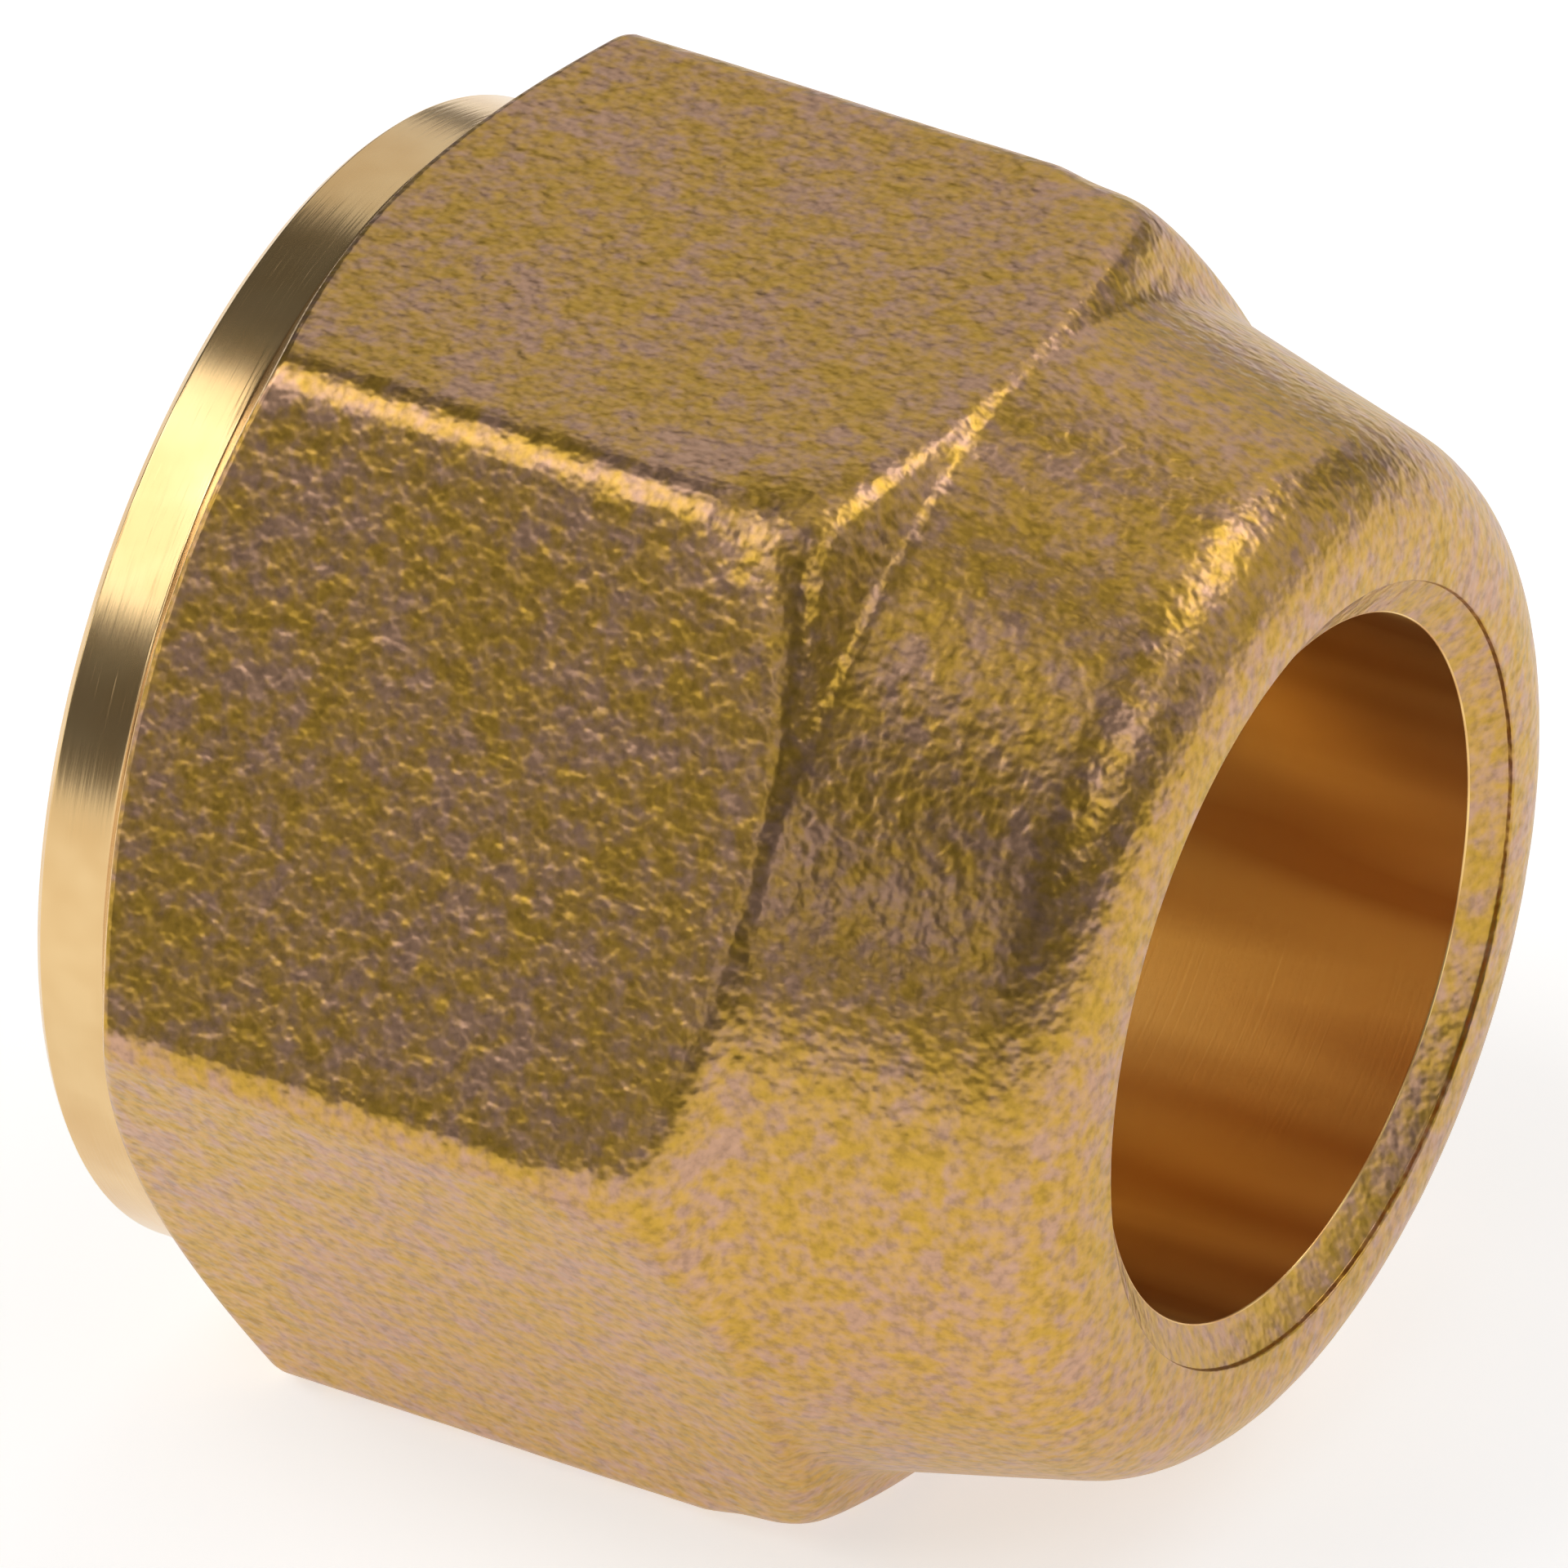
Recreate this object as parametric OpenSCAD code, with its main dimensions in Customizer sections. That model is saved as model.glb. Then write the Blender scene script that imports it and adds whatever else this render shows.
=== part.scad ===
// Union nut for a flared tube: a forged hexagon with a turned collar at the thread end and a plain
// round neck at the tube end. It lies on one flat of the hexagon. Its axis runs along +X, from the
// middle of the thread end face to the nose.

/* [Hexagon] */
// Width across the flats
across_flats = 27; // [25:0.5:32]
// Rounding radius of the six long corners
corner_radius = 1.2; // [0.4:0.1:2]
// Distance from the thread end to the foot of the ears, where the neck begins
hexagon_end = 17.6; // [16.5:0.1:19]
// Length over which the ears, the domed corner ends, come down onto the neck
ear_length = 2.4; // [1.5:0.1:4]
// Depth to which the domes of the ears run on below the neck's surface
ear_sink = 0.8; // [0.3:0.1:1.5]

/* [Collar] */
// Diameter of the turned collar
collar_d = 26.3; // [25.5:0.1:28]
// Length of the turned collar
collar_length = 1.8; // [0.8:0.1:3]
// Angle of the hexagon's chamfer, from the plane of the end face
chamfer_angle = 30; // [15:1:45]
// Break of the collar's sharp outer edge
edge_break = 0.2; // [0.1:0.05:0.5]

/* [Neck] */
// Overall length of the nut
overall_length = 24.8; // [23.5:0.1:30]
// Diameter of the neck at the foot of the ears
neck_root_d = 26.8; // [24:0.1:27]
// Angle of the neck's taper, from the axis
neck_taper = 13.9; // [5:0.1:20]
// Radius of the rounded nose
nose_radius = 2.7; // [1:0.1:3]

/* [Thread] */
// Diameter of the thread over its crests, 7/8-14 UNF
thread_minor_d = 20.4; // [19:0.1:21.5]
// Diameter of the lead chamfer at the end face
lead_d = 22.8; // [22:0.1:24]
// Distance from the end face to the end of the thread
thread_depth = 11.4; // [9:0.1:12.5]
// Diameter of the relief groove behind the thread
relief_d = 22.6; // [22.2:0.1:23.2]
// Length of the relief groove
relief_length = 2; // [1:0.1:2.5]

/* [Tube side] */
// Diameter of the tube hole
tube_hole_d = 16.2; // [14:0.1:17]
// Angle of the flare seat, from the axis
seat_angle = 45; // [37:1:50]
// Diameter of the countersunk mouth at the nose
mouth_d = 18; // [17.2:0.1:19]
// Depth of the countersunk mouth
mouth_depth = 0.65; // [0.3:0.05:1.5]

/* [Hidden] */

$fn = 96;
FLATS = 6;
FLAT_ANGLE = 360 / FLATS;
CORNER_STEPS = 4;
EAR_STEPS = 10;
NOSE_STEPS = 6;
// How far the domes start outside the corners, and how far cuts run past a face
TIP_CLEARANCE = 0.1;
OVERCUT = 1;

collar_r = collar_d / 2;
thread_minor_r = thread_minor_d / 2;
lead_r = lead_d / 2;
relief_r = relief_d / 2;
tube_hole_r = tube_hole_d / 2;
mouth_r = mouth_d / 2;
mouth_flare = (mouth_r - tube_hole_r) / mouth_depth;

// Centre of a corner's rounding, and the radius that the rounded corners reach
corner_centre_r = (across_flats / 2 - corner_radius) / cos(FLAT_ANGLE / 2);
corner_tip_r = corner_centre_r + corner_radius;
blank_r = corner_tip_r + TIP_CLEARANCE;

ear_start = hexagon_end - ear_length;
ear_foot_r = neck_root_d / 2 - ear_sink;
relief_end = thread_depth + relief_length;
seat_end = relief_end + (thread_minor_r - tube_hole_r) / tan(seat_angle);

// Radius of the neck's cone at a height
function neck_r(z) = neck_root_d / 2 - (z - hexagon_end) * tan(neck_taper);

// The nose's arc touches the cone and the end face
nose_z = overall_length - nose_radius;
nose_centre_r = neck_r(nose_z) - nose_radius / cos(neck_taper);

// Outline of the hexagon with its corners rounded
function hexagon_outline() = [
    for (i = [0:FLATS - 1], s = [0:CORNER_STEPS])
        let (corner = (i + 0.5) * FLAT_ANGLE)
        let (turn = corner + (s / CORNER_STEPS - 0.5) * FLAT_ANGLE)
        corner_centre_r * [cos(corner), sin(corner)] + corner_radius * [cos(turn), sin(turn)]
];

// Outline, radius by height, of the collar, the chamfer and the domes of the ears
function blank_outline() = concat(
    [
        [0, 0],
        [collar_r - edge_break, 0],
        [collar_r, edge_break],
        [collar_r, collar_length],
        [blank_r, collar_length + (blank_r - collar_r) * tan(chamfer_angle)]
    ],
    [
        for (s = [0:EAR_STEPS])
            let (turn = 90 * s / EAR_STEPS)
            [ear_foot_r + (blank_r - ear_foot_r) * cos(turn), ear_start + ear_length * sin(turn)]
    ],
    [[0, hexagon_end]]
);

// Outline of the tapered neck and its rounded nose
function neck_outline() = concat(
    [[0, ear_start], [neck_r(ear_start), ear_start]],
    [
        for (s = [0:NOSE_STEPS])
            let (turn = neck_taper + (90 - neck_taper) * s / NOSE_STEPS)
            [nose_centre_r + nose_radius * cos(turn), nose_z + nose_radius * sin(turn)]
    ],
    [[0, overall_length]]
);

// Outline of the hole: lead chamfer, thread, relief groove, flare seat, tube hole and mouth
function hole_outline() = [
    [0, -OVERCUT],
    [lead_r + OVERCUT, -OVERCUT],
    [thread_minor_r, lead_r - thread_minor_r],
    [thread_minor_r, thread_depth],
    [relief_r, thread_depth + relief_r - thread_minor_r],
    [relief_r, relief_end],
    [thread_minor_r, relief_end],
    [tube_hole_r, seat_end],
    [tube_hole_r, overall_length - mouth_depth],
    [mouth_r + OVERCUT * mouth_flare, overall_length + OVERCUT],
    [0, overall_length + OVERCUT]
];

// Prism that trims the turned blank to a hexagon and leaves the collar and the neck round
module hexagon_prism() {
    linear_extrude(overall_length) polygon(hexagon_outline());
    cylinder(r = blank_r + OVERCUT, h = collar_length);
    translate([0, 0, hexagon_end]) cylinder(r = blank_r + OVERCUT, h = overall_length - hexagon_end);
}

module turned_blank() {
    rotate_extrude() {
        polygon(blank_outline());
        polygon(neck_outline());
    }
}

module hole() {
    rotate_extrude() polygon(hole_outline());
}

module union_nut() {
    color("#b08d4f")
        rotate([0, 90, 0])
            difference() {
                intersection() {
                    turned_blank();
                    hexagon_prism();
                }
                hole();
            }
}

union_nut();
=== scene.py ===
import math

import bpy
import numpy as np
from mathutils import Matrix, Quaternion, Vector, noise


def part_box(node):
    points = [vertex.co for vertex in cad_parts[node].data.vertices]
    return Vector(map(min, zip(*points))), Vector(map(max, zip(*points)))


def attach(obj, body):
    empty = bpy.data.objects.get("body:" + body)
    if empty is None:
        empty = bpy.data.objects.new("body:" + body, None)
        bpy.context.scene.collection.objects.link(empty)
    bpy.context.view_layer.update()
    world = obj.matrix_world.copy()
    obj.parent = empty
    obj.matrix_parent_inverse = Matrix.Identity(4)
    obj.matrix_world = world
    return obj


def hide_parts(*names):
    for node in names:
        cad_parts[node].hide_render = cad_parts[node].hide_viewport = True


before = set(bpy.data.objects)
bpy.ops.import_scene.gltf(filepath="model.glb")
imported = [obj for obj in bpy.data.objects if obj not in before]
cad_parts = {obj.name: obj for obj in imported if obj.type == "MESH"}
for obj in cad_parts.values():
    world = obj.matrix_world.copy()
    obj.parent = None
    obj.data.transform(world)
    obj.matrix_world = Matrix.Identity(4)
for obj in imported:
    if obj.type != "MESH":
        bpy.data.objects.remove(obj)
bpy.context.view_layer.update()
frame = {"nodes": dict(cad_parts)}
print("frame loaded:", ", ".join(frame["nodes"]))

mm = 0.001
flats = 6
sector = 2 * np.pi / flats
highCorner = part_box("union_nut")[1]
nutLength = highCorner.x / mm
flatDistance = highCorner.z / mm

# Forms of the nut in mm, as in the CAD source: radii from the axis, places from the thread end
nut = {
    "cornerRadius": 1.2, "earStart": 15.2, "earLength": 2.4, "earFoot": 12.6, "earReach": 0.1,
    "collarRadius": 13.15, "collarLength": 1.8, "edgeBreak": 0.2, "chamferAngle": 30,
    "neckRoot": 13.4, "neckRootAt": 17.6, "neckTaper": 13.9, "noseRadius": 2.7,
    "mouth": 9.0, "mouthDepth": 0.65, "tubeHole": 8.1, "seatAngle": 45,
    "crest": 10.2, "lead": 11.4, "threadEnd": 11.4, "relief": 11.3, "reliefLength": 2.0,
}

# What forging and machining do to those forms, in mm: how softly two forms meet, the fillets at the foot
# of the ears, the rounding of edges and the unevenness of the skin
finish = {
    "earSoftness": 0.9, "neckSoftness": 0.2, "earRise": 0.4, "chamferSoftness": 0.25, "footSoftness": 0.12,
    "flatFillet": 0.16, "cornerFillet": 0.26, "footShift": 0.05, "footReach": 4.0,
    "sharpEdge": 0.05, "turnedEdge": 0.08, "mouthEdge": 0.05, "support": 0.02,
    "mouthStep": 0.14, "mouthStepLean": 0.02,
    "unevenness": 0.035, "unevenSize": 4.5, "pitting": 0.012, "pitSize": 0.8,
}

# Thread of 14 turns to the inch. The form is a share of one turn and a height over the crest in mm.
thread = {
    "pitch": 25.4 / 14,
    "form": [
        (0.10, 0), (0.14, 0.05), (0.23, 0.33), (0.31, 0.58), (0.40, 0.86), (0.44, 0.91),
        (0.56, 0.91), (0.60, 0.86), (0.69, 0.58), (0.77, 0.33), (0.86, 0.05), (0.90, 0),
    ],
}

# How finely the mesh is cut. The margins, where one outline hands over to the next, and the weld are in mm.
cuts = {
    "sector": 60, "cornerPull": 0.62, "samples": 1200, "chamfer": 12, "hexagon": 84, "turnWeight": 1.6,
    "arc": 4, "nose": 14, "thinMargin": 0.1, "margin": 0.4, "wideMargin": 0.6, "weld": 0.002,
}


def softMin(a, b, reach):
    overlap = np.maximum(reach - np.abs(a - b), 0)
    return np.minimum(a, b) - overlap ** 2 / (4 * reach)


def softMax(a, b, reach):
    return -softMin(-a, -b, reach)


# Angles round the axis, from +Y towards +Z, closer together at the corners
def ringAngles():
    share = np.arange(cuts["sector"]) / cuts["sector"]
    pulled = share + cuts["cornerPull"] * np.sin(2 * np.pi * share) / (2 * np.pi)
    return np.concatenate([(i + 0.5 + pulled) * sector for i in range(flats)])


# Distance from the axis to the hexagon with its rounded corners
def hexagonRadius(angles):
    fromCorner = np.abs((angles + sector / 2) % sector - sector / 2)
    side = flatDistance / np.cos(sector / 2 - fromCorner)
    centre = (flatDistance - nut["cornerRadius"]) / math.cos(sector / 2)
    along = centre * np.cos(fromCorner)
    across = centre * np.sin(fromCorner)
    reach = np.sqrt(np.maximum(nut["cornerRadius"] ** 2 - across ** 2, 0))
    tangentAt = math.atan2(nut["cornerRadius"] * math.sin(sector / 2),
                           centre + nut["cornerRadius"] * math.cos(sector / 2))
    return np.where(fromCorner < tangentAt, along + reach, side)


def neckRadius(x):
    return nut["neckRoot"] - (x - nut["neckRootAt"]) * math.tan(math.radians(nut["neckTaper"]))


cornerTip = (flatDistance - nut["cornerRadius"]) / math.cos(sector / 2) + nut["cornerRadius"]


# Outline of the domed ears and the neck, with the foot of the ears drawn by forging into a soft fillet
def earOutline(fillet):
    reach = finish["footReach"]
    x = np.linspace(nut["earStart"] - 2 * reach, nutLength + reach, 4 * cuts["samples"])
    place = x + finish["footShift"]
    blank = cornerTip + nut["earReach"]
    share = np.clip((place - nut["earStart"]) / nut["earLength"], 0, 1)
    ear = nut["earFoot"] + (blank - nut["earFoot"]) * np.sqrt(1 - share ** 2)
    ear = ear + finish["earRise"] * np.maximum(nut["earStart"] - place, 0) ** 2
    offset = np.arange(-reach / 2, reach / 2, x[1] - x[0])
    kernel = np.exp(-0.5 * (offset / fillet) ** 2)
    outline = np.where(x < nut["neckRootAt"], np.maximum(ear, neckRadius(x)), neckRadius(x))
    smooth = np.convolve(outline, kernel / kernel.sum(), "same")
    kept = slice(len(kernel), -len(kernel))
    return x[kept], smooth[kept]


earX, flatEnding = earOutline(finish["flatFillet"])
cornerEnding = earOutline(finish["cornerFillet"])[1]


# Radius of the forged body at x: chamfer cone, hexagon, domed ears and neck
def bodyRadius(x, hexagon):
    chamfer = nut["collarRadius"] + (x - nut["collarLength"]) / math.tan(math.radians(nut["chamferAngle"]))
    chamfer = softMax(chamfer, nut["collarRadius"], finish["footSoftness"])
    pastEar = np.clip((x - nut["neckRootAt"] + finish["earSoftness"]) / (2 * finish["earSoftness"]), 0, 1)
    pastEar = pastEar ** 2 * (3 - 2 * pastEar)
    softness = finish["earSoftness"] + (finish["neckSoftness"] - finish["earSoftness"]) * pastEar
    towardsCorner = np.clip(2 * (hexagon - flatDistance) / (cornerTip - flatDistance), 0, 1)
    flatEnd, cornerEnd = np.interp(x, earX, flatEnding), np.interp(x, earX, cornerEnding)
    ending = flatEnd + (cornerEnd - flatEnd) * towardsCorner
    return softMin(softMin(chamfer, hexagon, finish["chamferSoftness"]), ending, softness)


# Cuts the body's outline at every angle into points that crowd where it turns
def bodyRings(starts, ends, hexagon, count):
    steps = np.linspace(0, 1, cuts["samples"])
    x = starts[:, None] + (ends - starts)[:, None] * steps[None, :]
    r = bodyRadius(x, hexagon[:, None])
    dx, dr = np.diff(x, axis=1), np.diff(r, axis=1)
    turning = np.abs(np.diff(np.arctan2(dr, dx), axis=1, prepend=np.arctan2(dr, dx)[:, :1]))
    measure = np.cumsum(np.hypot(dx, dr) + cuts["turnWeight"] * turning, axis=1)
    measure = np.hstack([np.zeros((len(x), 1)), measure])
    rings = []
    for share in np.linspace(0, 1, count):
        at = np.array([np.interp(share * m[-1], m, row) for m, row in zip(measure, x)])
        rings.append((at, bodyRadius(at, hexagon)))
    return rings


# Outline of (x, r, rounding) corners with each corner rounded and held by a point either side
def roundedOutline(corners):
    points = []
    for i, (x, r, radius) in enumerate(corners):
        if radius == 0 or i in (0, len(corners) - 1):
            points.append((x, r))
            continue
        here = np.array([x, r])
        back = np.array(corners[i - 1][:2]) - here
        ahead = np.array(corners[i + 1][:2]) - here
        back, ahead = back / np.hypot(*back), ahead / np.hypot(*ahead)
        half = math.acos(np.clip(back @ ahead, -1, 1)) / 2
        tangent = radius / math.tan(half)
        points.append(here + back * (tangent + finish["support"]))
        bisector = (back + ahead) / np.hypot(*(back + ahead))
        centre = here + bisector * radius / math.sin(half)
        first = here + back * tangent - centre
        last = here + ahead * tangent - centre
        for s in range(cuts["arc"] + 1):
            t = s / cuts["arc"]
            swing = math.pi - 2 * half
            mix = (first * math.sin((1 - t) * swing) + last * math.sin(t * swing)) / math.sin(swing)
            points.append(centre + mix)
        points.append(here + ahead * (tangent + finish["support"]))
    return [(float(p[0]), float(p[1])) for p in points]


angles = ringAngles()
halfAngles = angles[::2]
hexagon = hexagonRadius(angles)
vertices, faces, zones, grain = [], [], [], []


def addRing(x, r, around, rough=0.0):
    first = len(vertices)
    x, r = np.broadcast_to(x, around.shape), np.broadcast_to(r, around.shape)
    vertices.extend(zip(x, r * np.cos(around), r * np.sin(around)))
    grain.extend([rough] * len(around))
    return list(range(first, first + len(around)))


def bridge(a, b, zone):
    for i in range(len(a)):
        faces.append((a[i - 1], a[i], b[i], b[i - 1]))
        zones.append(zone)


def bridgeToHalf(fine, coarse, zone, reverse=False):
    for i in range(len(coarse)):
        j, k = 2 * i, (i + 1) % len(coarse)
        afterNext = (j + 2) % len(fine)
        loops = [(fine[j], fine[j + 1], coarse[i]), (fine[j + 1], fine[afterNext], coarse[k], coarse[i])]
        faces.extend(loop[::-1] if reverse else loop for loop in loops)
        zones.extend([zone] * 2)


def bridgeOutline(last, outline, around, zone, rough=0.0):
    for x, r in outline:
        ring = addRing(x, r, around, rough)
        if last:
            bridge(last, ring, zone)
        last = ring
    return last


turned, forged, drilled, cutThread = range(4)  # The order of the four materials
skin = {"neck": 1.0, "mouth": 0.3}  # How much of the forging's unevenness a stretch keeps

# Thread end face, its broken edge and the collar
endFace = addRing(0, nut["lead"] + cuts["thinMargin"], halfAngles)
edge = finish["turnedEdge"]
collarEnd = nut["collarLength"] - cuts["margin"]
collar = roundedOutline([
    (0, nut["lead"] + cuts["margin"], 0),
    (0, nut["collarRadius"] - nut["edgeBreak"], edge),
    (nut["edgeBreak"], nut["collarRadius"], edge),
    (collarEnd, nut["collarRadius"], 0),
])
firstFine = addRing(*collar[0], angles)
bridgeToHalf(firstFine, endFace, turned, reverse=True)
last = bridgeOutline(firstFine, collar[1:-1], angles, turned)

# Chamfer, up to where it meets the hexagon at each angle
meet = nut["collarLength"] + (hexagon - nut["collarRadius"]) * math.tan(math.radians(nut["chamferAngle"]))
for x, r in bodyRings(np.full(len(angles), collarEnd), meet, hexagon, cuts["chamfer"]):
    ring = addRing(x, r, angles)
    bridge(last, ring, turned)
    last = ring

# Hexagon, ears and neck, up to where the nose's arc begins
taper = math.radians(nut["neckTaper"])
noseX = nutLength - nut["noseRadius"]
noseCentre = neckRadius(noseX) - nut["noseRadius"] / math.cos(taper)
neckEnd = noseX + nut["noseRadius"] * math.sin(taper)
for x, r in bodyRings(meet, np.full(len(angles), neckEnd), hexagon, cuts["hexagon"])[1:]:
    ring = addRing(x, r, angles, skin["neck"])
    bridge(last, ring, forged)
    last = ring

# Nose and countersunk mouth
turns = np.linspace(taper, math.pi / 2, cuts["nose"] + 1)[1:]
noseRadius = nut["noseRadius"]
nose = [(noseX + noseRadius * math.sin(t), noseCentre + noseRadius * math.cos(t)) for t in turns]
last = bridgeOutline(last, nose, angles, forged, skin["neck"])
mouthX = nutLength - nut["mouthDepth"]
mouth = roundedOutline([
    (nutLength, noseCentre, 0),
    (nutLength, nut["mouth"], finish["mouthEdge"]),
    (nutLength - finish["mouthStep"], nut["mouth"] - finish["mouthStepLean"], finish["sharpEdge"] / 2),
    (mouthX, nut["tubeHole"], 0),
])
last = bridgeOutline(last, mouth[1:-1], angles, forged, skin["mouth"])

# Tube hole, flare seat and the far wall of the relief groove
reliefEnd = nut["threadEnd"] + nut["reliefLength"]
seatEnd = reliefEnd + (nut["crest"] - nut["tubeHole"]) / math.tan(math.radians(nut["seatAngle"]))
sharp = finish["sharpEdge"]
bore = roundedOutline([
    (nutLength, nut["mouth"], 0),
    (mouthX, nut["tubeHole"], sharp),
    (seatEnd, nut["tubeHole"], edge),
    (reliefEnd, nut["crest"], edge),
    (reliefEnd, nut["relief"] - cuts["wideMargin"], 0),
])
last = bridgeOutline(last, bore[1:2], angles, forged, skin["mouth"])
last = bridgeOutline(last, bore[2:], angles, drilled)
reliefStart = nut["threadEnd"] + nut["relief"] - nut["crest"]
groove = roundedOutline([
    (reliefEnd, nut["relief"] - cuts["margin"], 0),
    (reliefEnd, nut["relief"], edge),
    (reliefStart, nut["relief"], 0),
])
grooveWall = addRing(*groove[0], halfAngles)
bridgeToHalf(last, grooveWall, cutThread)
grooveFoot = bridgeOutline(grooveWall, groove[1:-1], halfAngles, cutThread)

# Helical thread: rows that climb one pitch in a turn, held between the end face and the groove
rounds = range(-2, math.ceil(reliefStart / thread["pitch"]) + 1)
rows = np.array([n + share for n in rounds for share, height in thread["form"]])
heights = [height for n in rounds for share, height in thread["form"]]
rowX = thread["pitch"] * (rows[:, None] + halfAngles[None, :] / (2 * np.pi))


# Radius of the thread's wall at x, where the lead chamfer and the groove's ramp cut into it
def threadWall(x, height):
    leadCone = nut["lead"] - x
    ramp = nut["crest"] + x - nut["threadEnd"]
    return np.maximum(np.maximum(nut["crest"] + height, leadCone), ramp)


threadRows = []
for rowPlace, height in zip(rowX, heights):
    place = np.clip(rowPlace, sharp, reliefStart)
    inside = (rowPlace > sharp) & (rowPlace < reliefStart)
    held = np.where(inside, height, 0)
    threadRows.append(addRing(place, threadWall(place, held), halfAngles))
perTurn = len(thread["form"])
for j in range(len(threadRows) - 1):
    for i in range(len(halfAngles)):
        if i + 1 < len(halfAngles):
            nextLow, nextHigh = threadRows[j][i + 1], threadRows[j + 1][i + 1]
        elif j + 1 + perTurn < len(threadRows):
            nextLow, nextHigh = threadRows[j + perTurn][0], threadRows[j + 1 + perTurn][0]
        else:
            continue
        faces.append((threadRows[j + 1][i], nextHigh, nextLow, threadRows[j][i]))
        zones.append(cutThread)
bridge(grooveFoot, threadRows[-1], cutThread)
bridge(threadRows[0], endFace, cutThread)
print("nut outline cut into", len(vertices), "points")


# Depth in mm of the forged skin's unevenness and pits at a place, always inwards
def forgedDent(point):
    apart = Vector((31, 7, 13))
    broad = (noise.noise(point / finish["unevenSize"]) + 1) / 2
    fine = (noise.noise(point / finish["pitSize"] + apart) + 1) / 2
    return finish["unevenness"] * broad + finish["pitting"] * fine


# Mesh of the nut, with the forged skin pressed in and a material for each zone
def buildNut():
    mesh = bpy.data.meshes.new("nut_body")
    mesh.from_pydata([Vector(v) * mm for v in vertices], [], faces)
    mesh.update()
    normals = [v.normal.copy() for v in mesh.vertices]
    for v, normal, rough in zip(mesh.vertices, normals, grain):
        if rough > 0:
            v.co -= normal * forgedDent(v.co / mm) * rough * mm
    for polygon, zone in zip(mesh.polygons, zones):
        polygon.material_index = zone
        polygon.use_smooth = True
    piece = bpy.data.objects.new("nut_body", mesh)
    bpy.context.scene.collection.objects.link(piece)
    weld = piece.modifiers.new("weld", "WELD")
    weld.merge_threshold = cuts["weld"] * mm
    return piece


nutBody = buildNut()


def linearColour(hexCode):
    channels = [int(hexCode[i:i + 2], 16) / 255 for i in (1, 3, 5)]
    return [c / 12.92 if c <= 0.04045 else ((c + 0.055) / 1.055) ** 2.4 for c in channels] + [1]


def addNode(tree, kind, settings=None, links=None):
    node = tree.nodes.new(kind)
    for name, value in (settings or {}).items():
        if name in node.inputs:
            node.inputs[name].default_value = value
        else:
            setattr(node, name, value)
    for name, source in (links or {}).items():
        tree.links.new(source, node.inputs[name])
    return node


# Blended colours: shares along the ramp and the hex colour at each
def addRamp(tree, source, stops):
    node = addNode(tree, "ShaderNodeValToRGB", links={"Fac": source})
    elements = node.color_ramp.elements
    while len(elements) < len(stops):
        elements.new(1)
    for element, (share, colour) in zip(elements, stops):
        element.position = share
        element.color = linearColour(colour)
    return node.outputs["Color"]


def newMaterial(name, metallic, roughness):
    material = bpy.data.materials.new(name)
    material.use_nodes = True
    shader = material.node_tree.nodes["Principled BSDF"]
    shader.inputs["Metallic"].default_value = metallic
    shader.inputs["Roughness"].default_value = roughness
    return material, material.node_tree, shader


# Place on the nut in mm
def placeInMm(tree):
    place = addNode(tree, "ShaderNodeTexCoord").outputs["Object"]
    scaled = addNode(tree, "ShaderNodeVectorMath", {"operation": "SCALE", "Scale": 1 / mm}, {"Vector": place})
    return scaled.outputs[0]


# Works out a sum, difference or product of two sources, or a source and a number
def addMath(tree, operation, first, second):
    node = addNode(tree, "ShaderNodeMath", {"operation": operation})
    for socket, value in zip(node.inputs, (first, second)):
        if isinstance(value, (int, float)):
            socket.default_value = value
        else:
            tree.links.new(value, socket)
    return node.outputs[0]


# Place stretched along the cutter's path: across the tool marks in X, along them in Y and Z
def placeAcrossMarks(tree, across, along):
    place = placeInMm(tree)
    parts = addNode(tree, "ShaderNodeSeparateXYZ", links={"Vector": place}).outputs
    flat = addNode(tree, "ShaderNodeCombineXYZ", links={"Y": parts["Y"], "Z": parts["Z"]}).outputs[0]
    radius = addNode(tree, "ShaderNodeVectorMath", {"operation": "LENGTH"}, {"Vector": flat}).outputs["Value"]
    run = addMath(tree, "ADD", parts["X"], radius)
    joined = addNode(tree, "ShaderNodeCombineXYZ", links={"X": run, "Y": parts["Y"], "Z": parts["Z"]})
    scaled = addNode(tree, "ShaderNodeVectorMath", {"operation": "MULTIPLY"}, {"Vector": joined.outputs[0]})
    scaled.inputs[1].default_value = (across, along, along)
    return scaled.outputs[0]


# Hot forged brass, shot blasted: a matt skin of tiny dimples that sparkle, stained ochre and mauve by the
# heat. Sizes are in mm. Real dimples are about 0.1 mm wide, and are drawn larger so that they show.
forgedLook = {
    "roughness": 0.33, "stainSize": 0.6, "toneSize": 2.6, "toneShare": 0.4, "fleckSize": 0.26,
    "dimpleSize": 0.34, "dimpleDepth": 0.048,
    "stains": [(0.34, "#cda284"), (0.46, "#d2a66e"), (0.56, "#d4a758"), (0.68, "#cfa446")],
    "flecks": [(0.30, "#d6d6d6"), (0.50, "#f0f0f0"), (0.70, "#fcfcfc")],
}


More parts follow.
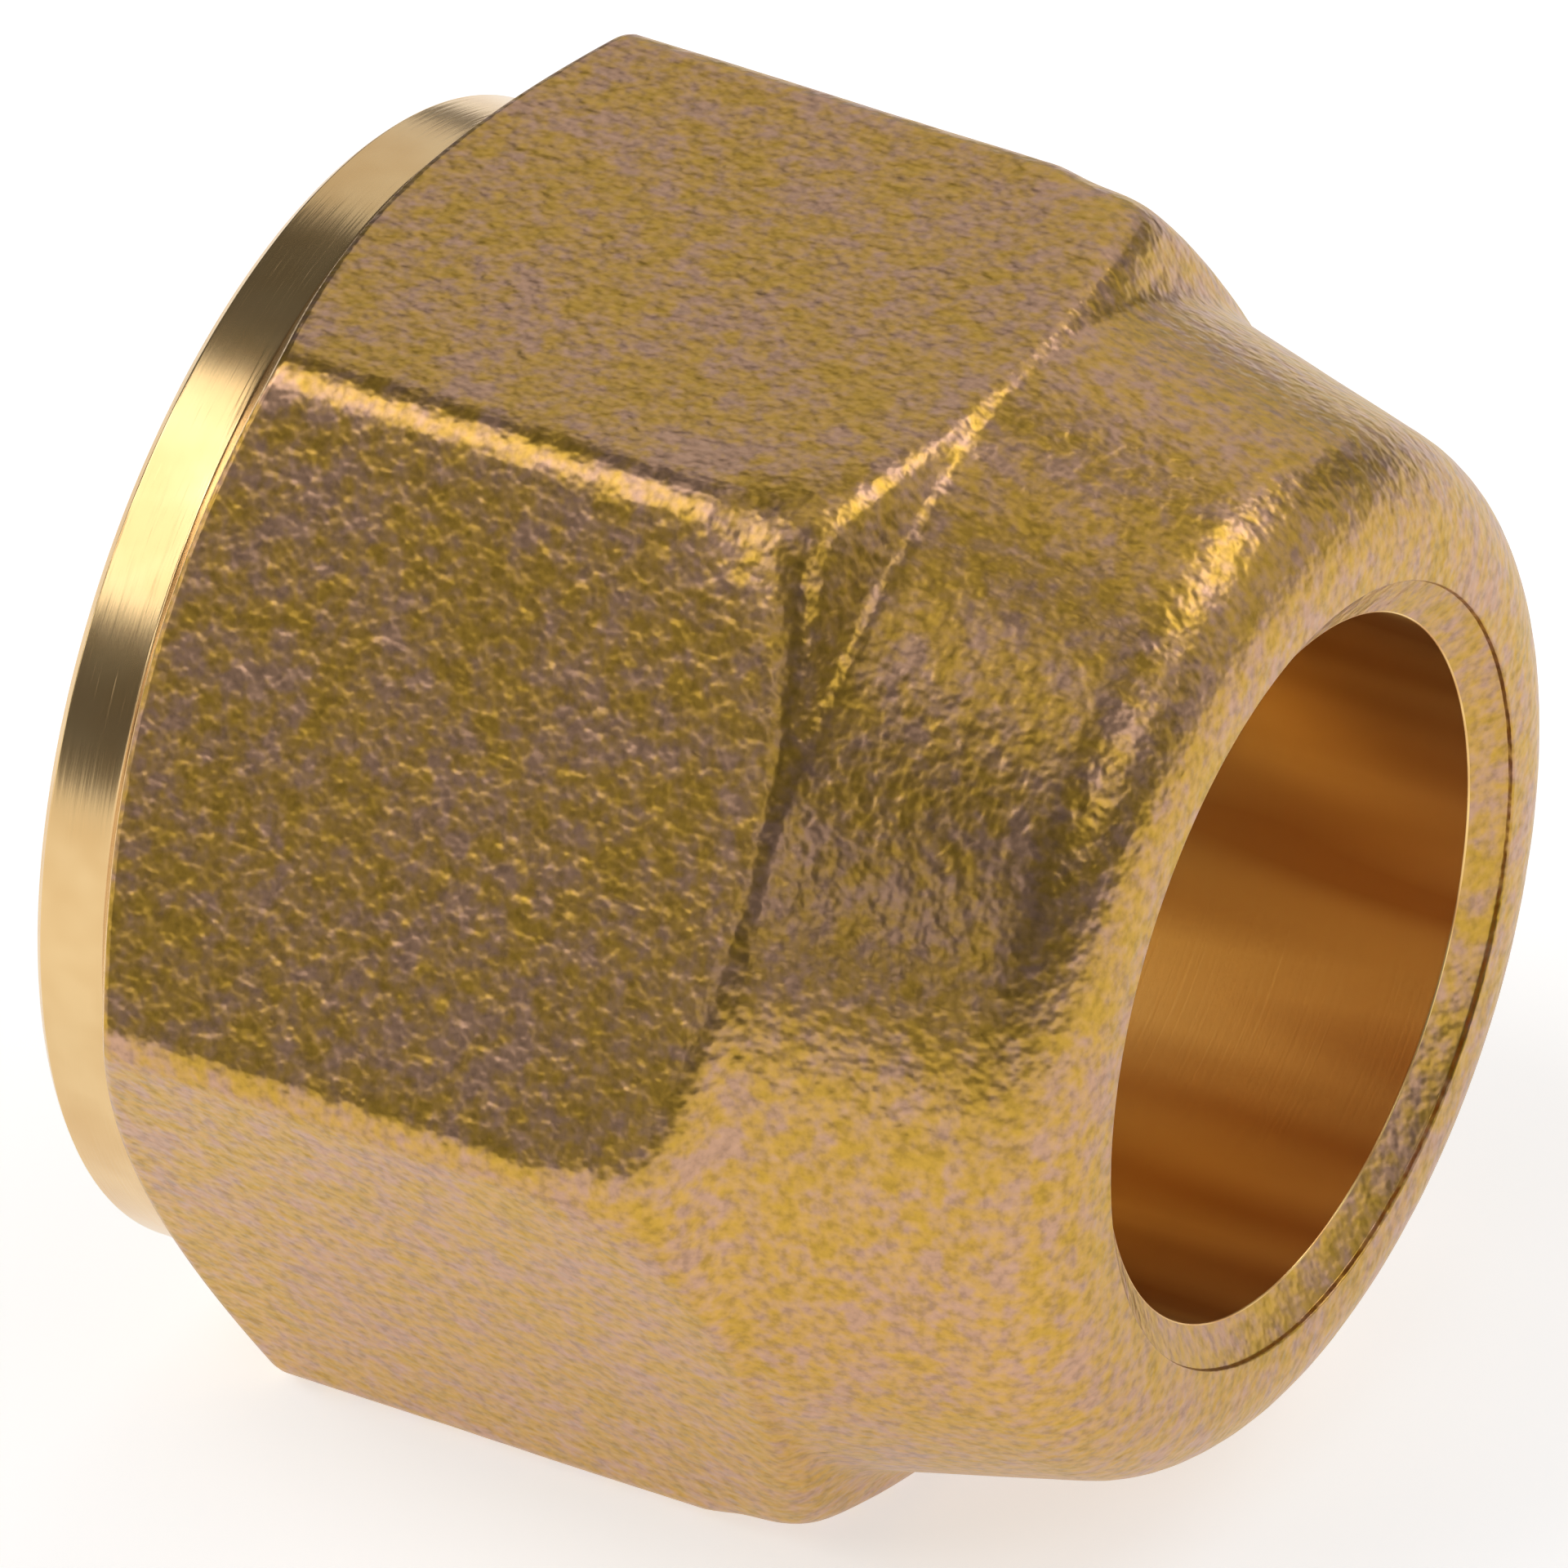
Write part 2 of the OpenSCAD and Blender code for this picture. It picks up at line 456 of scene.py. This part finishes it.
def forgedBrass():
    look = forgedLook
    material, tree, shader = newMaterial("brass_hot_forged_and_blasted", 1.0, look["roughness"])
    place = placeInMm(tree)
    blotches = {"Scale": 1 / look["stainSize"], "Detail": 2.0, "Roughness": 0.6}
    stain = addNode(tree, "ShaderNodeTexNoise", blotches, {"Vector": place}).outputs["Fac"]
    tone = addNode(tree, "ShaderNodeTexNoise", {"Scale": 1 / look["toneSize"], "Detail": 1.0},
                   {"Vector": place}).outputs["Fac"]
    shift = addMath(tree, "MULTIPLY", addMath(tree, "SUBTRACT", tone, 0.5), look["toneShare"])
    stainColour = addRamp(tree, addMath(tree, "ADD", stain, shift), look["stains"])
    fleck = addNode(tree, "ShaderNodeTexNoise", {"Scale": 1 / look["fleckSize"], "Detail": 2.0},
                    {"Vector": place}).outputs["Fac"]
    mixed = addNode(tree, "ShaderNodeMix", {"data_type": "RGBA", "blend_type": "MULTIPLY"})
    mixed.inputs[0].default_value = 1.0
    tree.links.new(stainColour, mixed.inputs[6])
    tree.links.new(addRamp(tree, fleck, look["flecks"]), mixed.inputs[7])
    tree.links.new(mixed.outputs[2], shader.inputs["Base Color"])
    dimple = addNode(tree, "ShaderNodeTexNoise", {"Scale": 1 / look["dimpleSize"], "Detail": 1.0},
                     {"Vector": place}).outputs["Fac"]
    dents = addNode(tree, "ShaderNodeBump", {"Distance": look["dimpleDepth"] * mm}, {"Height": dimple})
    tree.links.new(dents.outputs["Normal"], shader.inputs["Normal"])
    return material


# Brass cut by a tool: bright and smooth, with fine marks round the axis that pull each reflection into
# streaks. Sizes are in mm, and feed is the distance between the marks.
def cutBrass(name, look):
    material, tree, shader = newMaterial(name, 1.0, look["roughness"])
    across = placeAcrossMarks(tree, 1 / look["feed"], 1 / look["markLength"])
    marks = addNode(tree, "ShaderNodeTexNoise", {"Scale": 1.0, "Detail": 2.0, "Roughness": 0.6},
                    {"Vector": across}).outputs["Fac"]
    broad = placeAcrossMarks(tree, 1 / look["cloudLength"], 1 / look["cloudSize"])
    cloud = addNode(tree, "ShaderNodeTexNoise", {"Scale": 1.0, "Detail": look["cloudDetail"]},
                    {"Vector": broad}).outputs["Fac"]
    tree.links.new(addRamp(tree, cloud, look["colours"]), shader.inputs["Base Color"])
    bump = addNode(tree, "ShaderNodeBump", {"Distance": look["markDepth"] * mm}, {"Height": marks})
    tree.links.new(bump.outputs["Normal"], shader.inputs["Normal"])
    return material


# The collar and end face are turned bright, the hole is drilled duller, with soft lighter and darker bands
# along it that are painted reflections, and the thread is cut as bright as the collar
turnedLook = {
    "roughness": 0.2, "feed": 0.09, "markLength": 3.0, "markDepth": 0.009,
    "cloudSize": 2.0, "cloudLength": 2.0, "cloudDetail": 2.0,
    "colours": [(0.35, "#dcb67e"), (0.65, "#e6c48e")],
}
drilledLookWithPaintedBands = {
    "roughness": 0.32, "feed": 0.12, "markLength": 6.0, "markDepth": 0.003,
    "cloudSize": 2.0, "cloudLength": 16.0, "cloudDetail": 1.0,
    # Painted reflection bands: this ramp makes the hole lighter and darker in soft bands along it
    "colours": [(0.34, "#d8a464"), (0.66, "#ffda90")],
}
threadLook = {
    "roughness": 0.2, "feed": 0.08, "markLength": 3.0, "markDepth": 0.003,
    "cloudSize": 2.0, "cloudLength": 2.0, "cloudDetail": 2.0,
    "colours": [(0.35, "#dcbc78"), (0.65, "#e8cc8c")],
}

nutBody.data.materials.append(cutBrass("brass_turned", turnedLook))
nutBody.data.materials.append(forgedBrass())
nutBody.data.materials.append(cutBrass("brass_drilled", drilledLookWithPaintedBands))
nutBody.data.materials.append(cutBrass("brass_thread_cut", threadLook))
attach(nutBody, "root")
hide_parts("union_nut")
print("nut body built")

# Light table and softboxes: where each stands round the nut in degrees, its size in metres and how bright
# it looks. The surround is what the brass mirrors, and the backdrop is what the camera sees.
studio = {
    "floorSize": 2.0, "floorColour": "#dcdcdc", "floorGlow": 0.59,
    "surround": 0.1, "backdrop": 0.9, "reach": 1.0,
    "softboxes": {
        "key_left": {"azimuth": 227, "elevation": 52, "width": 0.83, "height": 0.45, "brightness": 2.0,
                     "turn": -53},
        "left": {"azimuth": 196, "elevation": 34, "width": 0.35, "height": 0.45, "brightness": 3.6},
        "left_low": {"azimuth": 205, "elevation": 14, "width": 0.45, "height": 0.2, "brightness": 1.8},
        "top": {"azimuth": 270, "elevation": 76, "width": 0.5, "height": 0.4, "brightness": 0.7},
        "back_high": {"azimuth": 50, "elevation": 50, "width": 0.6, "height": 0.26, "brightness": 3.3},
        "back_wall": {"azimuth": 105, "elevation": 28, "width": 0.8, "height": 0.7, "brightness": 0.68},
        "back_right": {"azimuth": 42, "elevation": 20, "width": 0.8, "height": 0.5, "brightness": 0.6},
        "right": {"azimuth": 348, "elevation": 42, "width": 0.4, "height": 0.3, "brightness": 2.0},
        "front": {"azimuth": 268, "elevation": 24, "width": 0.35, "height": 0.25, "brightness": 0.95},
        "top_back": {"azimuth": 90, "elevation": 70, "width": 0.5, "height": 0.3, "brightness": 0.85},
    },
}
aim = Vector((11.47, -0.07, 0.68)) * mm


# Direction of a place round the nut: azimuth from +X towards +Y, elevation above the floor
def towards(azimuth, elevation):
    turn, rise = math.radians(azimuth), math.radians(elevation)
    return Vector((math.cos(turn) * math.cos(rise), math.sin(turn) * math.cos(rise), math.sin(rise)))


def buildStudio():
    size = studio["floorSize"]
    mesh = bpy.data.meshes.new("floor")
    corners = [(x * size, y * size, -flatDistance * mm) for x, y in ((-1, -1), (1, -1), (1, 1), (-1, 1))]
    mesh.from_pydata(corners, [], [(0, 1, 2, 3)])
    floor = bpy.data.objects.new("floor", mesh)
    bpy.context.scene.collection.objects.link(floor)
    material, tree, shader = newMaterial("floor_white_acrylic_lit_from_below", 0.0, 0.9)
    shader.inputs["Base Color"].default_value = linearColour(studio["floorColour"])
    shader.inputs["Emission Color"].default_value = (1, 1, 1, 1)
    shader.inputs["Emission Strength"].default_value = studio["floorGlow"]
    mesh.materials.append(material)
    for name, box in studio["softboxes"].items():
        lamp = bpy.data.lights.new(name, "AREA")
        lamp.shape = "RECTANGLE"
        lamp.size, lamp.size_y = box["width"], box["height"]
        lamp.energy = math.pi * box["width"] * box["height"] * box["brightness"]
        light = bpy.data.objects.new(name, lamp)
        direction = towards(box["azimuth"], box["elevation"])
        light.location = aim + direction * studio["reach"]
        turn = Quaternion((0, 0, 1), math.radians(box.get("turn", 0)))
        light.rotation_euler = (direction.to_track_quat("Z", "Y") @ turn).to_euler()
        light.visible_camera = False
        bpy.context.scene.collection.objects.link(light)
    world = bpy.data.worlds.new("studio")
    world.use_nodes = True
    tree = world.node_tree
    path = addNode(tree, "ShaderNodeLightPath")
    mix = addNode(tree, "ShaderNodeMix", {"data_type": "FLOAT"})
    mix.inputs[2].default_value = studio["surround"]
    mix.inputs[3].default_value = studio["backdrop"]
    tree.links.new(path.outputs["Is Camera Ray"], mix.inputs[0])
    background = tree.nodes["Background"]
    background.inputs["Color"].default_value = (1, 1, 1, 1)
    tree.links.new(mix.outputs[0], background.inputs["Strength"])
    bpy.context.scene.world = world


buildStudio()

# The camera stands a metre off with a long lens, because the photograph shows hardly any perspective
view = {"azimuth": -60.2, "elevation": 33.78, "lens": 1044, "sensor": 36, "nearest": 0.01}
camera = bpy.data.objects.new("camera", bpy.data.cameras.new("camera"))
bpy.context.scene.collection.objects.link(camera)
back = towards(view["azimuth"], view["elevation"])
camera.location = aim + back
camera.rotation_euler = back.to_track_quat("Z", "Y").to_euler()
camera.data.lens = view["lens"]
camera.data.sensor_width = view["sensor"]
camera.data.clip_start = view["nearest"]
bpy.context.scene.camera = camera
bpy.context.scene.view_settings.view_transform = "Standard"
